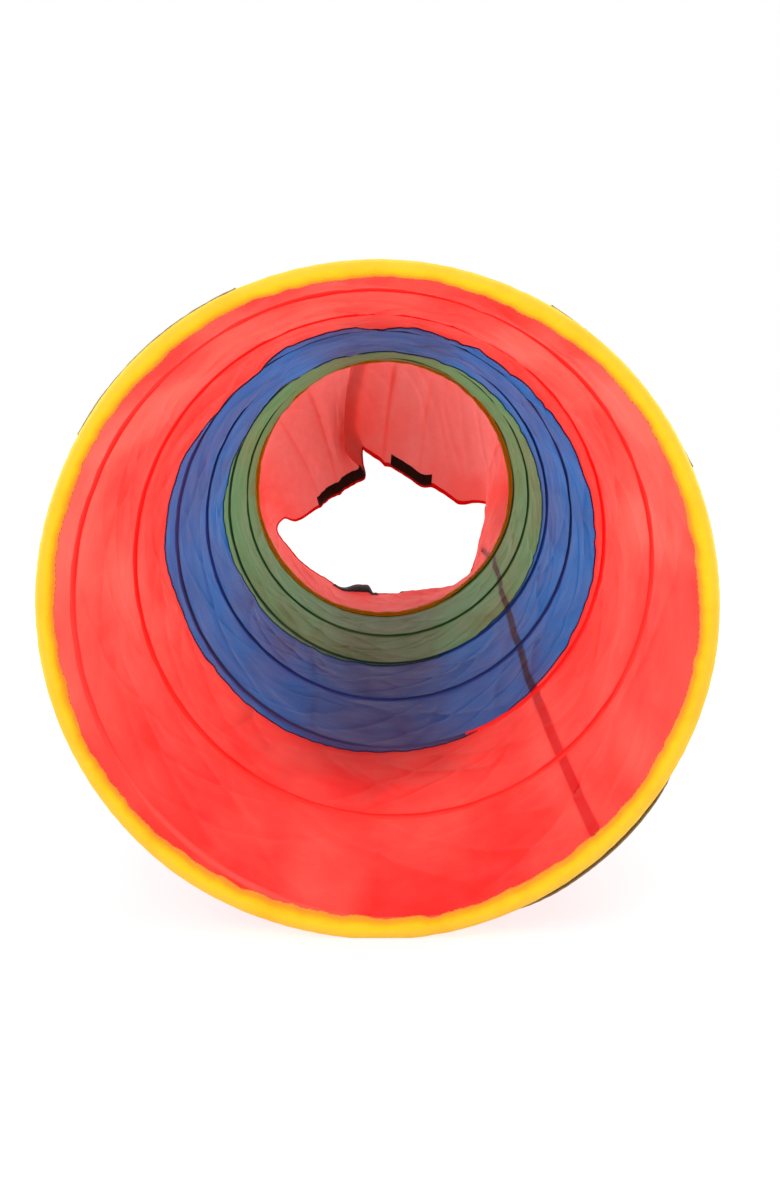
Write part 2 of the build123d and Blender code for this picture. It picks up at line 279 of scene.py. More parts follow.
def thin_cloth(name, colour, patch, through, light=0.5, rough=0.42, shade_reflection_tint=0.0, painted_patch_amount=0.7):
    """Thin woven polyester: glossy weave, light that comes through, and patches of a second colour
    that are painted sheen and painted reflected light.

    The mesh's shade darkens the cloth where it is above 0, as painted shade, and adds the second
    colour below 0.
    """
    s = Shader(name)
    place = s.place()
    shade = s.node("ShaderNodeAttribute", {"attribute_name": "shade"}).outputs["Fac"]
    painted_shade = s.limited(shade, 0.0, 1.0)
    painted_light = s.limited(shade, -1.0, 0.0, 1.0, 0.0)
    along = s.node("ShaderNodeMapping", Vector=place, Scale=(1.0, 0.35, 1.0)).outputs[0]
    # painted light: noise patches of the second colour stand in for sheen and for red light
    # reflected inside the tube, weaker where the cloth is seen from outside
    painted_light_mix = s.limited(s.noise(along, 7.0, 5.0, 0.62), 0.42, 0.70, 0.0, painted_patch_amount)
    inside = s.node("ShaderNodeNewGeometry").outputs["Backfacing"]
    painted_light_mix = s.maths("MULTIPLY", painted_light_mix, s.limited(inside, 0.0, 1.0, 0.25, 1.0))
    painted_light_mix = s.maths("ADD", s.maths("ADD", painted_light_mix, painted_light), s.maths("MULTIPLY", painted_shade, shade_reflection_tint))
    painted_light_mix = s.limited(painted_light_mix, 0.0, 1.0)
    fine = s.limited(s.noise(place, 60.0, 3.0), 0.35, 0.7, 0.94, 1.03)
    base = s.mix_colour(painted_light_mix, colour, patch)
    grain = s.node("ShaderNodeCombineColor", Red=fine, Green=fine, Blue=fine).outputs[0]
    base = s.mix_colour(1.0, base, grain, "MULTIPLY")
    # painted shade: shade above 0 darkens the cloth's colour and the light through it
    base = s.mix_colour(painted_shade, base, BLACK)
    crinkle = s.noise(place, 38.0, 5.0, 0.6)
    bump = s.woven_bump(s.weave(0.0011), 0.00006, crinkle, 0.0022, 0.55)
    roughness = s.limited(s.noise(place, 22.0), 0.3, 0.7, rough - 0.06, rough + 0.1)
    solid = s.solid(
        Base_Color=base, Roughness=roughness, Normal=bump,
        Specular_IOR_Level=0.4, Sheen_Weight=0.15, Sheen_Roughness=0.4,
    )
    glow = s.mix_colour(s.maths("MULTIPLY", painted_light_mix, 0.7), through, patch)
    glow = s.mix_colour(painted_shade, glow, BLACK)
    return s.lit_through(solid, glow, bump, light)


def tape_cloth(name, colour, worn, light):
    """Heavier woven tape, with ribs across it and paler, worn high spots."""
    s = Shader(name)
    place = s.place()
    weave = s.weave(0.0014)
    wear = s.limited(s.noise(place, 45.0, 5.0, 0.65), 0.5, 0.75, 0.0, 0.5)
    base = s.mix_colour(wear, colour, worn)
    base = s.mix_colour(s.limited(weave, -1.0, 1.0, 0.0, 0.16), base, BLACK)
    bump = s.woven_bump(weave, 0.00014, s.noise(place, 120.0, 4.0), 0.0006, 0.7)
    solid = s.solid(
        Base_Color=base, Roughness=0.6, Normal=bump, Specular_IOR_Level=0.3, Sheen_Weight=0.3,
    )
    return s.lit_through(solid, base, bump, light)


def binding_cloth(name, light):
    """Yellow binding, puckered at its sewn inner side; its paler yellow round the wire and deeper
    yellow at the inner side are painted light and shade.
    """
    s = Shader(name)
    place = s.place()
    parts = s.node("ShaderNodeSeparateXYZ", Vector=place)
    rise = s.maths("SUBTRACT", parts.outputs[2], AXIS_HEIGHT)
    across = s.maths("POWER", parts.outputs[0], 2.0)
    radius = s.maths("SQRT", s.maths("ADD", across, s.maths("MULTIPLY", rise, rise)))
    wobble = s.maths("MULTIPLY", s.noise(place, 55.0), 0.004)
    # painted light and shade: paler yellow round the wire, deeper yellow at the inner side
    inner = s.limited(s.maths("ADD", radius, wobble), 0.2316, 0.2348, 1.0, 0.0)
    blotch = s.limited(s.noise(place, 34.0, 4.0, 0.6), 0.46, 0.72, 0.0, 0.4)
    base = s.mix_colour(inner, rgb(255, 206, 52), rgb(255, 212, 24))
    base = s.mix_colour(blotch, base, rgb(255, 180, 6))
    bump = s.woven_bump(s.weave(0.0013), 0.00008, s.noise(place, 90.0, 4.0), 0.0026, 0.5)
    solid = s.solid(
        Base_Color=base, Roughness=0.5, Normal=bump, Specular_IOR_Level=0.2, Sheen_Weight=0.08,
    )
    return s.lit_through(solid, base, bump, light)


def fuzzy_tape(name, colour, tip, scale):
    """Hook or loop tape: dense little hooks or loops that catch the light."""
    s = Shader(name)
    place = s.place()
    cells = s.node("ShaderNodeTexVoronoi", Vector=place, Scale=scale).outputs["Distance"]
    base = s.mix_colour(s.limited(cells, 0.0, 0.6, 0.6, 0.0), colour, tip)
    height = s.maths("MULTIPLY", s.limited(cells, 0.0, 0.7, 1.0, 0.0), 0.0006)
    solid = s.solid(
        Base_Color=base, Roughness=0.7, Normal=s.bump(height, 0.8), Specular_IOR_Level=0.25,
        Sheen_Weight=0.2,
    )
    return s.finish(solid)


def thread(name, colour):
    """Twisted sewing thread."""
    s = Shader(name)
    place = s.place()
    bands = {"wave_type": "BANDS", "bands_direction": "DIAGONAL"}
    twist = s.node("ShaderNodeTexWave", bands, Vector=place, Scale=900.0).outputs["Fac"]
    base = s.mix_colour(s.limited(twist, 0.0, 1.0, 0.0, 0.35), colour, BLACK)
    bump = s.bump(twist, 0.4, 0.0002)
    return s.finish(s.solid(Base_Color=base, Roughness=0.55, Normal=bump))


def spring_steel(name):
    """Bright drawn wire with fine drawing marks along it."""
    s = Shader(name)
    place = s.place()
    marks = s.noise(place, 300.0, 6.0, 0.7)
    base = s.mix_colour(s.limited(marks, 0.4, 0.7), rgb(188, 190, 194), rgb(122, 124, 128))
    solid = s.solid(
        Base_Color=base, Metallic=1.0, Roughness=s.limited(marks, 0.3, 0.7, 0.22, 0.45),
        Normal=s.bump(marks, 0.15, 0.0003),
    )
    return s.finish(solid)


# the second colours are painted light: pale sheen on the red, red light reflected inside the tube
# on the blue and green, and daylight on the skirt's roof
RED_CLOTH = thin_cloth(
    "red_cloth", rgb(246, 30, 28), rgb(255, 112, 96), rgb(255, 56, 46), light=0.55,
)
BLUE_CLOTH = thin_cloth(
    "blue_cloth", rgb(14, 80, 150), rgb(92, 66, 108), rgb(26, 102, 174), shade_reflection_tint=1.6,
)
GREEN_CLOTH = thin_cloth(
    "green_cloth", rgb(72, 110, 68), rgb(128, 104, 58), rgb(92, 136, 84), shade_reflection_tint=1.6,
)
# the casings' deeper colours are partly painted shade of the wire under them; their second colours
# are the paler flanges
RED_CASING = thin_cloth(
    "red_casing", rgb(252, 30, 18), rgb(255, 84, 74), rgb(250, 24, 12), light=0.08, rough=0.5,
)
BLUE_CASING = thin_cloth(
    "blue_casing", rgb(16, 84, 122), rgb(92, 136, 204), rgb(30, 84, 120), light=0.2, rough=0.5,
)
GREEN_CASING = thin_cloth(
    "green_casing", rgb(44, 104, 60), rgb(140, 170, 112), rgb(60, 104, 58), light=0.2, rough=0.5,
)
SKIRT_CLOTH = thin_cloth(
    "skirt_cloth", rgb(248, 64, 58), rgb(250, 148, 146), rgb(255, 74, 64), painted_patch_amount=0.25,
)
RED_TAPE = tape_cloth("red_tape", rgb(232, 30, 44), rgb(244, 74, 74), light=0.75)
HEM_TAPE = tape_cloth("hem_cloth", rgb(255, 26, 28), rgb(255, 60, 54), light=0.6)
STRAP_TAPE = tape_cloth("strap_tape", rgb(170, 16, 36), rgb(206, 54, 62), light=0.05)
NEAR_BINDING = binding_cloth("near_binding", light=0.2)
FAR_BINDING = binding_cloth("far_binding", light=0.6)
HOOK_TAPE = fuzzy_tape("hook_tape", rgb(20, 20, 24), rgb(70, 70, 76), 900.0)
LOOP_TAPE = fuzzy_tape("loop_tape", rgb(134, 124, 92), rgb(188, 178, 146), 1300.0)
DARK_THREAD = thread("dark_thread", rgb(78, 96, 150))
YELLOW_THREAD = thread("yellow_thread", rgb(232, 150, 12))
RED_THREAD = thread("red_thread", rgb(176, 14, 24))
STEEL = spring_steel("spring_steel")


def paint(obj, material):
    obj.data.materials.clear()
    obj.data.materials.append(material)


def stand_in(obj, node, material, body):
    """Makes a painted object take a CAD node's place, and ride its body."""
    paint(obj, material)
    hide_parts(node)
    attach(obj, body)


# ---- panels -------------------------------------------------------------------------------------
WIRE_LIFT = 0.0010          # how much further out the cloth lies on the wire than off it
EVEN_SAG = 0.0018           # how far the cloth sinks in between the turns, all round
ROOF_SAG = 0.0052           # and how much further at the roof
FLOOR_SPREAD = 0.0016       # how far the floor rests outwards
DRAPE = 0.0042              # heights of the broad waves, folds and creases between the turns
FLUTE = 0.0028
CREASE = 0.0028
SLANTED_CREASE = 0.0022
OTHER_CREASE = 0.0018
WIRE_GATHER = 0.0007        # heights of the fine gathers at the wire, and at the seams and rims
SEAM_PUCKER = 0.0009
PUCKERED_STATIONS = (0.022, *SEAMS, LENGTH - 0.022)


def cloth_form(angle, station):
    """Radius and painted shade of the panels' cloth: held by the wire, sagging and creased in
    between.
    """
    phase = coil_phase(angle, station)
    from_wire = min(phase, 1 - phase)
    ends = smooth(station, 0.015, 0.09) * smooth(LENGTH - station, 0.015, 0.09)
    span = sin(pi * phase) ** 0.8 * ends
    up = sin(radians(angle))
    # sag between the turns
    radius = CLOTH_RADIUS
    radius -= WIRE_LIFT * (1 - bell(from_wire, 0.035)) * ends
    radius -= span * (EVEN_SAG + ROOF_SAG * smooth(up, -0.4, 1.0))
    radius += span * FLOOR_SPREAD * smooth(-up, 0.3, 1.0)
    # folds between the turns
    radius += span * DRAPE * wrapped_noise(angle, station, 0.16, 0.26, 3.1)
    flutes = wrapped_noise(angle, station, 0.05, 0.42, 17.9)
    lengthwise = ridge(wrapped_noise(angle, station, 0.075, 0.34, 7.7)) ** 3
    slanted = ridge(wrapped_noise(angle + station * 150, station, 0.10, 0.20, 12.3)) ** 4
    other_way = ridge(wrapped_noise(angle - station * 210, station, 0.09, 0.24, 23.9)) ** 5
    radius += span * (FLUTE * flutes - CREASE * lengthwise - SLANTED_CREASE * slanted)
    radius += span * OTHER_CREASE * other_way
    # fine gathers where the cloth is sewn
    near_wire = bell(from_wire, 0.07) * ends
    gathers = wrapped_noise(angle, station, 0.014, 0.05, 31.0)
    radius += WIRE_GATHER * near_wire * gathers
    pucker = wrapped_noise(angle, station, 0.011, 0.06, 41.0)
    for held in PUCKERED_STATIONS:
        radius += SEAM_PUCKER * bell(station - held, 0.016) * pucker
    # painted shade: darker in the folds, at the mouth, and at the roof and floor further in, and
    # lighter on the flutes
    streaks = smooth(wrapped_noise(angle, station, 0.028, 0.22, 53.0), 0.1, 0.6)
    shade = span * (0.06 * lengthwise + 0.06 * slanted + 0.05 * streaks - 0.12 * flutes)
    shade += 0.10 * near_wire * max(gathers, 0.0) + 0.10 * bell(station, 0.05)
    shade += 0.26 * smooth(abs(up), 0.86, 1.0) * smooth(station, 0.30, 0.55)
    # painted light: daylight that falls on the two sides near the mouth
    side = smooth(abs(cos(radians(angle))), 0.45, 0.95) * (1 - smooth(station, 0.30, 0.56))
    shade -= 0.55 * side * (0.65 + 0.9 * wrapped_noise(angle, station, 0.09, 0.2, 57.0))
    # painted sheen: pale lengthwise streaks near the mouth
    sheen = smooth(wrapped_noise(angle, station, 0.06, 0.5, 77.0), 0.05, 0.5)
    shade -= 0.5 * sheen * (1 - smooth(station, 0.25, 0.5))
    return radius, min(max(shade, -0.8), 0.6)


def cloth_radius(angle, station):
    return cloth_form(angle, station)[0]


def seam_wander(angle, seed):
    """A sewn edge is never quite straight: how far it wanders along the tunnel."""
    slow = wrapped_noise(angle, 0.0, 0.06, 1.0, seed)
    quick = wrapped_noise(angle, 0.0, 0.016, 1.0, seed + 5)
    return 0.0022 * slow + 0.0015 * quick


# turned-in edge of a lapped panel: (along the tunnel from the seam, in towards the axis)
TURNED_EDGE = ((-0.0014, 0.0012), (-0.0028, 0.0014), (-0.0040, 0.0010))


def panel(name, start, end, lapped, seed):
    """Cloth tube between two stations; a lapped one starts with an edge turned in at the seam."""
    rows = round((end - start) / ROW) + 1
    vertices = []
    uvs = []
    shade = []
    turned = TURNED_EDGE if lapped else ()
    count = rows + len(turned)
    for j in range(COLUMNS):
        angle = 360 * j / COLUMNS
        wander = seam_wander(angle, seed)
        for along, inward in turned:
            radius = cloth_radius(angle, start) - inward - 0.3 * abs(wander)
            vertices.append(on_circle(radius, angle, start + along + wander))
            shade.append(0.0)
        for i in range(rows):
            t = i / (rows - 1)
            station = start + (end - start) * t
            edge = bell(t * (end - start), 0.02) if lapped else 0.0
            shift = wander * edge
            radius, painted_shading = cloth_form(angle, station)
            vertices.append(on_circle(radius, angle, station + shift))
            shade.append(painted_shading)
        for i in range(count):
            uvs.append((radians(angle) * CLOTH_RADIUS, start + ROW * (i - len(turned))))
    faces = grid(COLUMNS, count, wrap_rows=True)
    return mesh_object(name, vertices, faces, uvs, shade)


def packs(obj):
    """Gives an object its own copy of its mesh."""
    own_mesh(obj)


PANEL_TUCK = 0.008          # the first and last panels stop this far inside the tunnel's ends
SEAM_LAP = 0.002            # and a panel runs on this far under the next one
# colour, start, end, the station its section starts from, body, cloth, and its casing's cloth
PANELS = (
    ("red", PANEL_TUCK, SEAMS[0] + SEAM_LAP, 0.0, "near_end", RED_CLOTH, RED_CASING),
    ("blue", SEAMS[0], SEAMS[1] + SEAM_LAP, SEAMS[0], "blue_section", BLUE_CLOTH, BLUE_CASING),
    ("green", SEAMS[1], LENGTH - PANEL_TUCK, SEAMS[1], "green_section", GREEN_CLOTH, GREEN_CASING),
)
for colour, start, end, anchor, body, cloth, _ in PANELS:
    obj = panel(f"{colour}_panel_cloth", start, end, colour != "red", 50 + anchor)
    stand_in(obj, f"{colour}_panel", cloth, body)
    packs(obj)


# ---- spring wire and its casings ----------------------------------------------------------------
WIRE_STEPS = 240            # to a turn of the coil
BLEND_TURNS = 0.03          # half the part of a turn over which the pitch changes


def ramp(turn):
    """0 before turn 0 and the turn itself after it, with a soft change in between."""
    if turn <= -BLEND_TURNS:
        return 0.0
    if turn >= BLEND_TURNS:
        return turn
    return (turn + BLEND_TURNS) ** 2 / (4 * BLEND_TURNS)


def wire_point(turn):
    """Point on the spring wire, counted in turns from its near end."""
    open_turns = ramp(turn - END_COIL_TURNS) - ramp(turn - END_COIL_TURNS - COIL_TURNS)
    station = END_COIL_RISE * turn + (PITCH - END_COIL_RISE) * open_turns
    angle = LEAVING_ANGLE + 360 * (END_COIL_TURNS - turn)
    opened = smooth(station, 0.008, 0.03) * smooth(LENGTH - station, 0.008, 0.03)
    return on_circle(COIL_RADIUS, angle, station + opened * coil_wander(angle, station))


def round_profile(radius, count):
    turns = [2 * pi * i / count for i in range(count)]
    return [(radius * cos(turn), radius * sin(turn)) for turn in turns]


def to_axis(point):
    return Vector((-point.x, 0, AXIS_HEIGHT - point.z)).normalized()


def path_frames(points):
    """Frame at each point of a path: across is sideways, up is towards the tunnel axis."""
    frames = []
    for i, point in enumerate(points):
        ahead = points[min(i + 1, len(points) - 1)] - points[max(i - 1, 0)]
        ahead.normalize()
        up = to_axis(point)
        up = (up - ahead * up.dot(ahead)).normalized()
        frames.append((point, ahead.cross(up), up))
    return frames


steps = round(WIRE_TURNS * WIRE_STEPS)
wire_points = [wire_point(WIRE_TURNS * i / steps) for i in range(steps + 1)]
wire = swept("spring_wire_coil", path_frames(wire_points), round_profile(WIRE_RADIUS, 8))
stand_in(wire, "spring_wire", STEEL, "near_end")
packs(wire)

CASING_STEPS = 300          # to a turn of the coil
CASING_TUCK = 0.012         # the casings stop this far inside the tunnel's ends
# sewn channel: two narrow flanges and a ridge over the wire, as (sideways, height towards the axis)
CASING_PROFILE = (
    (-0.0030, 0.0002), (-0.0028, 0.0006), (-0.0023, 0.0009), (-0.0019, 0.0013), (-0.0016, 0.0021),
    (-0.0011, 0.0032), (0.0000, 0.0038), (0.0011, 0.0032), (0.0016, 0.0021), (0.0019, 0.0013),
    (0.0023, 0.0009), (0.0028, 0.0006), (0.0030, 0.0002),
)


def casing(name, start, end, seed):
    """Casing along the open coil between two stations, resting on the inside of the cloth."""
    first = (start - END_COIL_LENGTH) / PITCH
    last = (end - END_COIL_LENGTH) / PITCH
    count = round((last - first) * CASING_STEPS)
    points = []
    for i in range(count + 1):
        turn = first + (last - first) * i / count
        angle = LEAVING_ANGLE - 360 * turn
        station = END_COIL_LENGTH + PITCH * turn
        station += coil_wander(angle, station)
        points.append(on_circle(CLOTH_RADIUS + 0.0002, angle, station))
    vertices = []
    uvs = []
    shade = []
    for i, (origin, across, up) in enumerate(path_frames(points)):
        # the ridge keeps the casing's deeper colour, partly painted shade of the wire under it; it
        # fades into the flanges' paler colour here and there, and where the wire leaves the near
        # rim
        strength = smooth(first + (last - first) * i / count, 0.20, 0.27)
        strength *= 0.55 + 0.45 * smooth(noise.noise(Vector((i * 0.035, seed, 8))), -0.3, 0.2)
        swell = 1.12 + 0.14 * noise.noise(Vector((i * 0.23, seed, 0)))
        pinch = 1.12 + 0.3 * noise.noise(Vector((i * 0.47, seed, 4)))
        for a, u in CASING_PROFILE:
            vertices.append(origin + across * (a * pinch) + up * (u * swell))
            shade.append(strength * smooth(u, 0.0008, 0.0020) - 1)
            uvs.append((i * 2 * pi * COIL_RADIUS / CASING_STEPS, a))
    faces = grid(len(points), len(CASING_PROFILE))
    return mesh_object(name, vertices, faces, uvs, shade)


for index, (colour, _, _, anchor, body, _, material) in enumerate(PANELS):
    start = max(anchor, CASING_TUCK)
    end = min(anchor + SEAMS[0], LENGTH - CASING_TUCK)
    obj = casing(f"{colour}_casing_cloth", start, end, 60.0 + index)
    stand_in(obj, f"{colour}_wire_casing", material, body)
    packs(obj)


# ---- rims ---------------------------------------------------------------------------------------
# outline of the folded binding: (depth from the end coil into the tunnel, radius)
BINDING_OUTLINE = (
    (0.0200, 0.2360), (0.0140, 0.2370), (0.0070, 0.2374), (0.0020, 0.2375), (-0.0020, 0.2369),
    (-0.0040, 0.2350), (-0.0049, 0.2325), (-0.0046, 0.2300), (-0.0032, 0.2280), (-0.0008, 0.2268),
    (0.0030, 0.2264), (0.0055, 0.2265), (0.0080, 0.2267), (0.0100, 0.2271), (0.0118, 0.2277),
    (0.0127, 0.2285), (0.0128, 0.2293), (0.0110, 0.2300), (0.0078, 0.2306), (0.0076, 0.2335),
    (0.0140, 0.2342), (0.0198, 0.2346),
)
INNER_TAIL = 0.2315         # the outline inside this radius is the binding's inner tail
TAIL_STITCH = (0.0095, 0.2270)      # where the binding's stitches lie on that outline
RIM_STEPS = 720
RIM_LOWEST = 0.0001


def rim_swell(angle, seed):
    """A bound rim is not quite round: how far it stands out."""
    return 0.0016 * wrapped_noise(angle, 0.0, 0.15, 1.0, seed + 4)


def rim_point(depth, radius, angle, end_station, inward, seed):
    """Point on a binding: puckered at its sewn inner edge and flat where it stands."""
    if radius < INNER_TAIL:
        tail = smooth(depth, 0.004, 0.012)
    else:
        tail = 0.25 * smooth(depth, 0.004, 0.02)
    inner = smooth(0.2325 - radius, 0.0, 0.005)
    pucker = wrapped_noise(angle, 0.0, 0.020, 1.0, seed)
    gather = wrapped_noise(angle, 0.0, 0.0075, 1.0, seed + 2)
    reach = 0.45 + 0.35 * cos(radians(angle))
    reach += 0.8 * wrapped_noise(angle, 0.0, 0.12, 1.0, seed + 6)
    radius += rim_swell(angle, seed) + 0.0003 * gather
    radius -= inner * (0.0015 * pucker + 0.0010 * gather + 0.0016 * reach)
    depth += tail * (0.0036 * pucker + 0.0016 * gather + 0.007 * max(reach, 0.0))
    point = on_circle(radius, angle, end_station + inward * depth)
    point.z = max(point.z, RIM_LOWEST)
    return point


def rim(name, end_station, inward, seed):
    vertices = []
    uvs = []
    for j in range(RIM_STEPS):
        angle = 360 * j / RIM_STEPS
        for k, (depth, radius) in enumerate(BINDING_OUTLINE):
            vertices.append(rim_point(depth, radius, angle, end_station, inward, seed))
            uvs.append((radians(angle) * radius, k * 0.003))
    faces = grid(RIM_STEPS, len(BINDING_OUTLINE), wrap_rows=True, wrap_columns=True)
    return mesh_object(name, vertices, faces, uvs)


# a stitch's rings: (how far along it, rise, thickness), the last two in thread widths
STITCH_RINGS = (
    (0.0, -0.6, 0.55), (0.2, 0.25, 0.95), (0.5, 0.5, 1.0), (0.8, 0.25, 0.95), (1.0, -0.6, 0.55),
)
STITCH_SIDES = 6
STITCH_FILL = 0.72          # share of a row that is thread
RIM_STITCHES = 330          # to a rim
SEAM_STITCHES = 350         # to a seam
RIM_THREAD = 0.0008
SEAM_THREAD = 0.0007


def stitch(start, end, out, thickness):
    """One sewn stitch lying on cloth: it dips in at both ends. Returns (vertices, faces)."""
    along = end - start
    side = along.cross(out).normalized()
    vertices = []
    for t, rise, size in STITCH_RINGS:
        middle = start + along * t + out * (rise * thickness)
        for across, up in round_profile(1.0, STITCH_SIDES):
            vertices.append(middle + (side * across + out * up) * (thickness * size / 2))
    return vertices, capped(len(STITCH_RINGS), STITCH_SIDES)


def stitch_row(name, count, place, thickness):
    """Stitches all round; place(angle) gives the point on the cloth and the direction off it."""
    parts = []
    step = 360 / count
    for j in range(count):
        start, out = place(j * step)
        end, _ = place((j + STITCH_FILL) * step)
        parts.append(stitch(start, end, out, thickness))
    return joined(name, parts)


NEAR_RIM_SEED = 70.0
for name, end_station, inward, body, seed, cloth in (
    ("near", 0.0, 1, "near_end", NEAR_RIM_SEED, NEAR_BINDING),
    ("far", LENGTH, -1, "far_end", 80.0, FAR_BINDING),
):
    obj = rim(f"{name}_binding_cloth", end_station, inward, seed)
    stand_in(obj, f"{name}_rim_binding", cloth, body)

    def on_tail(angle, end_station=end_station, inward=inward, seed=seed):
        point = rim_point(*TAIL_STITCH, angle, end_station, inward, seed)
        return point, to_axis(point)

    row = stitch_row(f"{name}_rim_stitches", RIM_STITCHES, on_tail, RIM_THREAD)
    stand_in(row, f"{name}_rim_stitching", YELLOW_THREAD, body)
    paint(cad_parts[f"{name}_wire_ferrule"], STEEL)

for pair, seam, body in (
    ("red_blue", SEAMS[0], "blue_section"),
    ("blue_green", SEAMS[1], "green_section"),
):
    def on_seam(angle, seam=seam):
        station = seam - SEAM_STITCH_INSET + seam_wander(angle, 50 + seam) - 0.0005
        point = on_circle(cloth_radius(angle, seam) - 0.0018, angle, station)
        return point, to_axis(point)

    row = stitch_row(f"{pair}_seam_stitches", SEAM_STITCHES, on_seam, SEAM_THREAD)
    stand_in(row, f"{pair}_seam_stitching", DARK_THREAD, body)


# ---- tape along the outside ---------------------------------------------------------------------
TAPE_INSET = 0.024          # the tape stops this far inside the tunnel's ends
TAPE_ROWS = 400
# its section: (sideways, out from the cloth)
TAPE_SECTION = (
    (-0.0050, 0.0), (-0.0046, 0.0006), (-0.002, 0.0007), (0.002, 0.0007), (0.0046, 0.0006),
    (0.0050, 0.0),
)


def tape_angle(station):
    """Sewn a little crooked: it climbs slowly, and bows towards the floor in between."""
    t = (station - TAPE_INSET) / (LENGTH - 2 * TAPE_INSET)
    return 313.0 + 16.0 * t - 3.0 * sin(pi * t)


def outside_tape():
    vertices = []
    uvs = []
    for i in range(TAPE_ROWS + 1):
        station = TAPE_INSET + (LENGTH - 2 * TAPE_INSET) * i / TAPE_ROWS
        middle = tape_angle(station) + 0.25 * noise.noise(Vector((station * 9, 2.0, 0.5)))
        for across, out in TAPE_SECTION:
            angle = middle + across / CLOTH_RADIUS * 180 / pi
            radius = cloth_radius(angle, station) + 0.0004 + out
            vertices.append(on_circle(radius, angle, station))
            uvs.append((across, station))
    return mesh_object("outside_tape", vertices, capped(TAPE_ROWS + 1, len(TAPE_SECTION)), uvs)


tape = outside_tape()
stand_in(tape, "lengthwise_tape", RED_TAPE, "near_end")
packs(tape)


# ---- connector skirt ----------------------------------------------------------------------------
# the limp hem: (direction round the tube it hangs from, x, z, set back along the tunnel)
HEM_PATH = (
    (-12, 0.176, 0.070, 0.000), (4, 0.192, 0.125, 0.000), (18, 0.198, 0.180, 0.000),
    (25, 0.199, 0.196, 0.000), (34, 0.174, 0.199, 0.002), (42, 0.147, 0.196, 0.003),
    (50, 0.120, 0.213, 0.004), (58, 0.094, 0.229, 0.006), (65, 0.073, 0.232, 0.007),
    (73, 0.045, 0.249, 0.008), (80, 0.015, 0.267, 0.010), (88, -0.012, 0.283, 0.014),
    (94, -0.034, 0.297, 0.018), (98, -0.041, 0.301, 0.018), (101.5, -0.040, 0.275, 0.006),
    (105, -0.037, 0.248, -0.010), (112, -0.056, 0.237, -0.010), (121, -0.076, 0.226, -0.008),
    (132, -0.098, 0.212, -0.006), (144, -0.119, 0.197, -0.004), (156, -0.145, 0.178, 0.000),
    (166, -0.172, 0.163, 0.000), (176, -0.196, 0.168, 0.000), (186, -0.211, 0.143, 0.000),
    (204, -0.186, 0.104, 0.000), (222, -0.156, 0.070, 0.000), (238, -0.118, 0.044, 0.000),
    (252, -0.079, 0.020, 0.000), (270, -0.020, 0.012, 0.000), (292, 0.050, 0.012, 0.000),
    (312, 0.111, 0.016, 0.000), (330, 0.160, 0.034, 0.000),
)
# the roof's main pleat as (direction, sideways, back along the tunnel, up): it laps over itself
PLEAT = (
    (91, 0.0, 0.0, 0.0), (95, -0.005, 0.001, 0.0005), (98.5, -0.023, 0.006, 0.002),
    (101.5, -0.054, 0.016, 0.006), (105, -0.033, -0.006, 0.0), (111, -0.018, -0.004, 0.0),
    (124, 0.0, 0.0, 0.0),
)
HEM_ROOF = (1.974, 0.260)   # station and height of a point on the leaning plane of the hem's edge
HEM_LEAN = 0.435            # and how far that plane runs on for each metre down
SKIRT_START = 1.794         # the skirt is sewn in under the far binding
SKIRT_LENGTH = 0.28         # at the floor, where it is longest
SKIRT_COLUMNS = 1080
SKIRT_ROWS = 64
SIDE_SINK = 0.018           # how far the right side sinks in under the strap
EDGE_LOWEST = 0.004         # heights that keep the hem's edge, the cloth and the hem off the floor
SKIRT_LOWEST = 0.0022
HEM_LOWEST = 0.0012
FIRST_DIRECTION = -12       # where the hem's path starts, in degrees
# soft folds of the roof: direction round the tube, half width in degrees, and height
SKIRT_FOLDS = (
    (84, 4.0, 0.012), (127, 7.0, 0.009), (66, 8.0, 0.006), (21, 6.0, 0.010), (146, 9.0, 0.006),
)


def hem_values(angle):
    """The hem path's three values at this direction, on a smooth closed (Catmull-Rom) curve."""
    angle = (angle - FIRST_DIRECTION) % 360 + FIRST_DIRECTION
    count = len(HEM_PATH)
    k = max(i for i in range(count) if HEM_PATH[i][0] <= angle + 1e-9)
    low = HEM_PATH[k][0]
    high = HEM_PATH[(k + 1) % count][0] + (360 if k + 1 == count else 0)
    t = (angle - low) / (high - low)
    values = []
    for axis in (1, 2, 3):
        p0, p1, p2, p3 = (HEM_PATH[(k + step) % count][axis] for step in (-1, 0, 1, 2))
        square = (2 * p0 - 5 * p1 + 4 * p2 - p3) * t ** 2
        cube = (3 * p1 - p0 - 3 * p2 + p3) * t ** 3
        values.append(0.5 * (2 * p1 + (p2 - p0) * t + square + cube))
    return values


def hem_edge(angle):
    """Point on the free edge of the hem, which rests on the floor where it reaches it."""
    x, z, back = hem_values(angle)
    station = HEM_ROOF[0] + (HEM_ROOF[1] - z) * HEM_LEAN + back
    return Vector((x, station, max(z, EDGE_LOWEST)))


def pleat_shift(angle):
    """How far the pleat moves the cloth that hangs here; straight runs keep its folds crisp."""
    for (low, *low_shift), (high, *high_shift) in zip(PLEAT, PLEAT[1:]):
        if low <= angle <= high:
            return Vector(low_shift).lerp(Vector(high_shift), (angle - low) / (high - low))
    return Vector((0, 0, 0))


